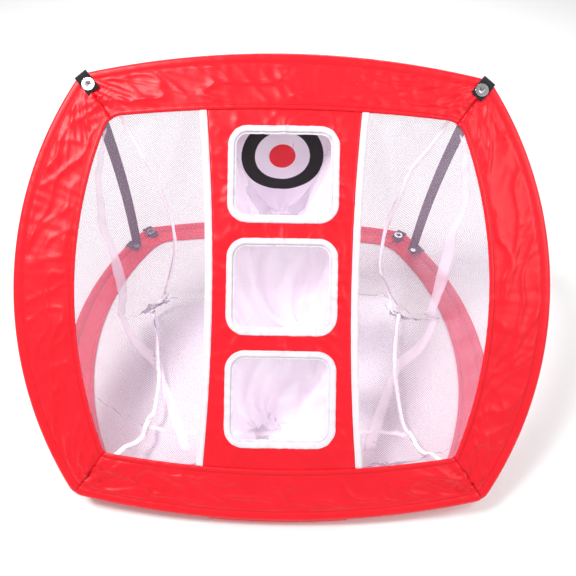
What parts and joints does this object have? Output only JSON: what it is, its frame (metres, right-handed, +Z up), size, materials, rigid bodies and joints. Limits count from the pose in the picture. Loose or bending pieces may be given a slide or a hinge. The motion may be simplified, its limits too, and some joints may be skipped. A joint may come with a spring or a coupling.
{
  "type": "golf chipping net",
  "caption": "Pop-up golf chipping net: two hemmed spring-wire loops hinged like a clam shell, with a net bag and a windowed centre column.",
  "frame": {"origin": "on the ground, under the middle of the net's bounding box", "axes": "+X to the right as a player faces the mouth, +Y away from the player, +Z up"},
  "size_m": [0.65, 0.5718, 0.3961],
  "materials": {
    "bag_net": "fine knitted mesh",
    "base_polyester": "satin woven polyester",
    "black_webbing": "ribbed polypropylene webbing",
    "column_polyester": "satin woven polyester",
    "eyelet_nickel": "polished nickel plate",
    "ferrule_steel": "crimped plain steel",
    "front_polyester": "satin woven polyester",
    "hinge_tape": "woven polyester tape",
    "pocket_net": "fine knitted mesh",
    "rivet_nickel": "polished nickel plate",
    "spring_steel": "drawn spring steel wire",
    "target_cloth": "white polyester, printed",
    "white_elastic": "knitted elastic binding",
    "white_tape": "woven binding tape"
  },
  "bodies": {
    "base_frame": {"base_eyelet_washers": "eyelet_nickel", "base_eyelets": "eyelet_nickel", "base_far_panel": "base_polyester", "base_left_panel": "base_polyester", "base_left_tab": "black_webbing", "base_near_panel": "base_polyester", "base_right_panel": "base_polyester", "base_right_tab": "black_webbing", "base_wire": "spring_steel", "base_wire_ferrule": "ferrule_steel", "left_strap_anchor": "black_webbing", "right_strap_anchor": "black_webbing", "strap_rivets": "rivet_nickel", "hinge_tape": "hinge_tape"},
    "front_frame": {"column_left_tape": "white_tape", "column_panel": "column_polyester", "column_right_tape": "white_tape", "front_bottom_panel": "front_polyester", "front_eyelet_washers": "eyelet_nickel", "front_eyelets": "eyelet_nickel", "front_left_panel": "front_polyester", "front_left_tab": "black_webbing", "front_right_panel": "front_polyester", "front_right_tab": "black_webbing", "front_top_panel": "front_polyester", "front_wire": "spring_steel", "front_wire_ferrule": "ferrule_steel", "left_back_seam": "white_tape", "left_floor_seam": "white_tape", "left_side_net": "bag_net", "left_side_strap": "black_webbing", "lower_pocket": "pocket_net", "lower_window_binding": "white_elastic", "main_net": "bag_net", "middle_pocket": "pocket_net", "middle_window_binding": "white_elastic", "right_back_seam": "white_tape", "right_floor_seam": "white_tape", "right_side_net": "bag_net", "right_side_strap": "black_webbing", "upper_pocket": "pocket_net", "upper_window_binding": "white_elastic"},
    "target_flap": {"target_cloth": "target_cloth"}
  },
  "joints": [
    {"name": "frame_fold", "type": "hinge", "parent": "base_frame", "child": "front_frame", "pos_m": [0, -0.28134, 0.00865], "axis": [-1, 0, 0], "range_deg": [0, 42.2], "stiffness_Nm_per_rad": 1.6, "springref_deg": -91.67, "deforming": ["left_side_net", "right_side_net", "main_net", "upper_pocket", "middle_pocket", "lower_pocket", "left_back_seam", "right_back_seam", "left_floor_seam", "right_floor_seam", "left_side_strap", "right_side_strap", "target_cloth", "hinge_tape"]},
    {"name": "target_swing", "type": "hinge", "parent": "front_frame", "child": "target_flap", "pos_m": [0, 0.07881, 0.34904], "axis": [-1, 0, 0], "range_deg": [0, 26], "deforming": ["upper_pocket", "main_net"]}
  ]
}
